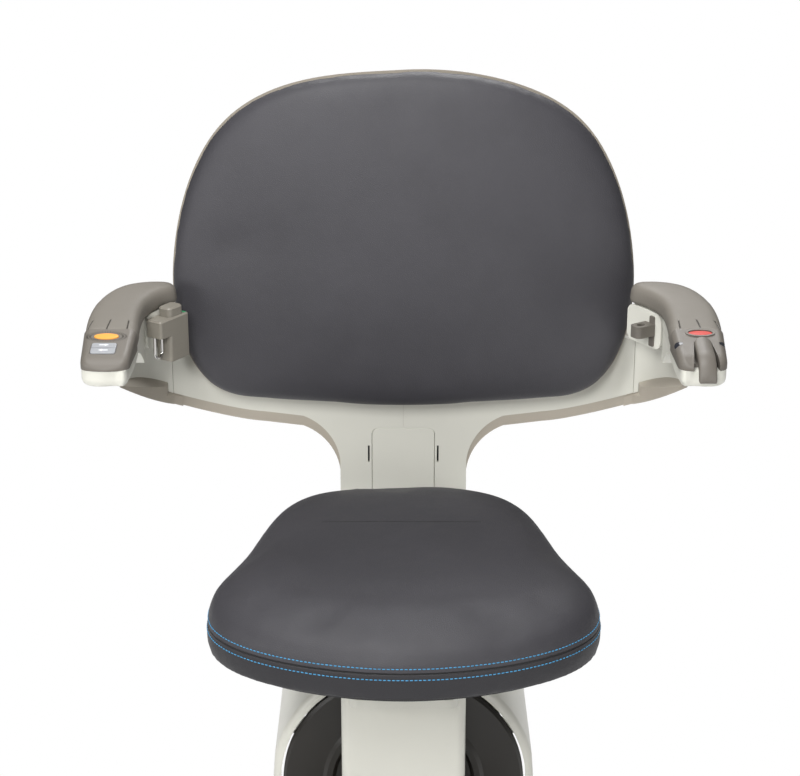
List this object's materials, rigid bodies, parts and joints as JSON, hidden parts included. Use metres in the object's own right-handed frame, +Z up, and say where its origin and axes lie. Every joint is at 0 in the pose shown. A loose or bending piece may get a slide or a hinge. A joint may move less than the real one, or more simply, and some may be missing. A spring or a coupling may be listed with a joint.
{
  "type": "stairlift chair",
  "caption": "Stairlift chair with padded folding seat, padded backrest, folding armrests with controls, swivel, folding footrest and a levelling hub that bolts to a carriage.",
  "frame": {"origin": "the levelling axis where it meets the rear mounting plane of the hub", "axes": "+Y points back to the rail carriage along the levelling axis, +Z is up, +X is to the right of someone who looks at the chair from the front"},
  "size_m": [0.617, 0.4723, 0.8806],
  "materials": {
    "charcoal_leather": "matte, fine grain",
    "ivory_plastic": "satin, moulded",
    "taupe_plastic": "satin, moulded",
    "beige_plastic": "satin, moulded",
    "handle_plastic": "satin, moulded",
    "dark_disc": "satin, dark brown",
    "steel": "zinc plated",
    "bearing_steel": "ground",
    "frame_paint": "powder coat",
    "rubber": "matte",
    "arm_pad": "soft, matte",
    "pod_plastic": "satin, moulded",
    "orange_button": "satin",
    "grey_button": "satin",
    "red_button": "satin",
    "chrome": "polished"
  },
  "bodies": {
    "base": {"mount_plate": "steel", "base_shell": "ivory_plastic", "hub_housing": "frame_paint", "hub_bearing_front": "bearing_steel", "hub_bearing_rear": "bearing_steel", "hub_bolts": "steel"},
    "column": {"hub_disc": "dark_disc", "hub_shaft": "steel", "column_frame": "frame_paint", "front_panel": "ivory_plastic", "swivel_bearing_lower": "bearing_steel", "footrest_bracket": "frame_paint", "footrest_pin": "steel"},
    "footrest": {"footrest_plate": "taupe_plastic", "footrest_tread": "rubber"},
    "chair": {"swivel_bearing_upper": "bearing_steel", "kingpin": "steel", "seat_carrier": "frame_paint", "seat_lugs": "frame_paint", "seat_stops": "rubber", "spine_frame": "frame_paint", "spine_cover_right": "ivory_plastic", "spine_cover_left": "ivory_plastic", "spine_door": "ivory_plastic", "horn_cover_right": "ivory_plastic", "horn_cover_left": "ivory_plastic", "rear_shell": "beige_plastic", "arm_bracket_right": "frame_paint", "arm_bracket_left": "frame_paint", "backrest_bracket": "frame_paint", "backrest_shell": "taupe_plastic", "backrest_cushion": "charcoal_leather", "carrier_bolts": "steel"},
    "seat": {"seat_pan": "frame_paint", "seat_cushion": "charcoal_leather", "seat_brackets": "frame_paint", "seat_hinge_pin": "steel"},
    "arm_left": {"armrest_pad_left": "arm_pad", "arm_under_shell_left": "ivory_plastic", "control_pod_left": "pod_plastic", "arm_frame_left": "frame_paint", "arm_hinge_pin_left": "steel", "cheek_plate_left": "ivory_plastic", "belt_handle": "handle_plastic", "belt_hook": "chrome"},
    "arm_right": {"armrest_pad_right": "arm_pad", "arm_under_shell_right": "ivory_plastic", "control_pod_right": "pod_plastic", "arm_frame_right": "frame_paint", "arm_hinge_pin_right": "steel", "cheek_plate_right": "ivory_plastic", "belt_receiver": "pod_plastic"},
    "call_button": {"call_button": "orange_button"},
    "direction_rocker": {"direction_rocker": "grey_button"},
    "belt_release": {"belt_release_cap": "handle_plastic"},
    "stop_button": {"stop_button": "red_button"},
    "joystick": {"joystick": "pod_plastic"}
  },
  "joints": [
    {"name": "levelling", "type": "hinge", "parent": "base", "child": "column", "pos_m": [0, 0, 0], "axis": [0, 1, 0], "range_deg": [-45, 45]},
    {"name": "footrest_fold", "type": "hinge", "parent": "column", "child": "footrest", "pos_m": [0, -0.24, -0.141], "axis": [-1, 0, 0], "range_deg": [0, 88]},
    {"name": "swivel", "type": "hinge", "parent": "column", "child": "chair", "pos_m": [0, -0.2025, 0.15], "axis": [0, 0, 1], "range_deg": [-90, 90]},
    {"name": "seat_fold", "type": "hinge", "parent": "chair", "child": "seat", "pos_m": [0, -0.125, 0.222], "axis": [-1, 0, 0], "range_deg": [0, 70]},
    {"name": "arm_left_fold", "type": "hinge", "parent": "chair", "child": "arm_left", "pos_m": [-0.292, -0.094, 0.492], "axis": [-1, 0, 0], "range_deg": [0, 85]},
    {"name": "arm_right_fold", "type": "hinge", "parent": "chair", "child": "arm_right", "pos_m": [0.292, -0.094, 0.492], "axis": [-1, 0, 0], "range_deg": [0, 85]},
    {"name": "call_press", "type": "slide", "parent": "arm_left", "child": "call_button", "axis": [0, 0.1822, -0.9833], "range_m": [0, 0.0015], "stiffness_N_per_m": 300, "springref_m": -0.002},
    {"name": "rocker_tilt", "type": "hinge", "parent": "arm_left", "child": "direction_rocker", "pos_m": [-0.28, -0.2668, 0.51458], "axis": [1, 0, 0], "range_deg": [-3, 3], "stiffness_Nm_per_rad": 0.2},
    {"name": "belt_release_press", "type": "slide", "parent": "arm_left", "child": "belt_release", "axis": [0, 0, -1], "range_m": [0, 0.002], "stiffness_N_per_m": 300, "springref_m": -0.002},
    {"name": "stop_press", "type": "slide", "parent": "arm_right", "child": "stop_button", "axis": [0, 0.1822, -0.9833], "range_m": [0, 0.0015], "stiffness_N_per_m": 300, "springref_m": -0.002},
    {"name": "joystick_swing", "type": "hinge", "parent": "arm_right", "child": "joystick", "pos_m": [0.28, -0.258, 0.515], "axis": [0, 0, 1], "range_deg": [-5, 5], "stiffness_Nm_per_rad": 0.5}
  ]
}
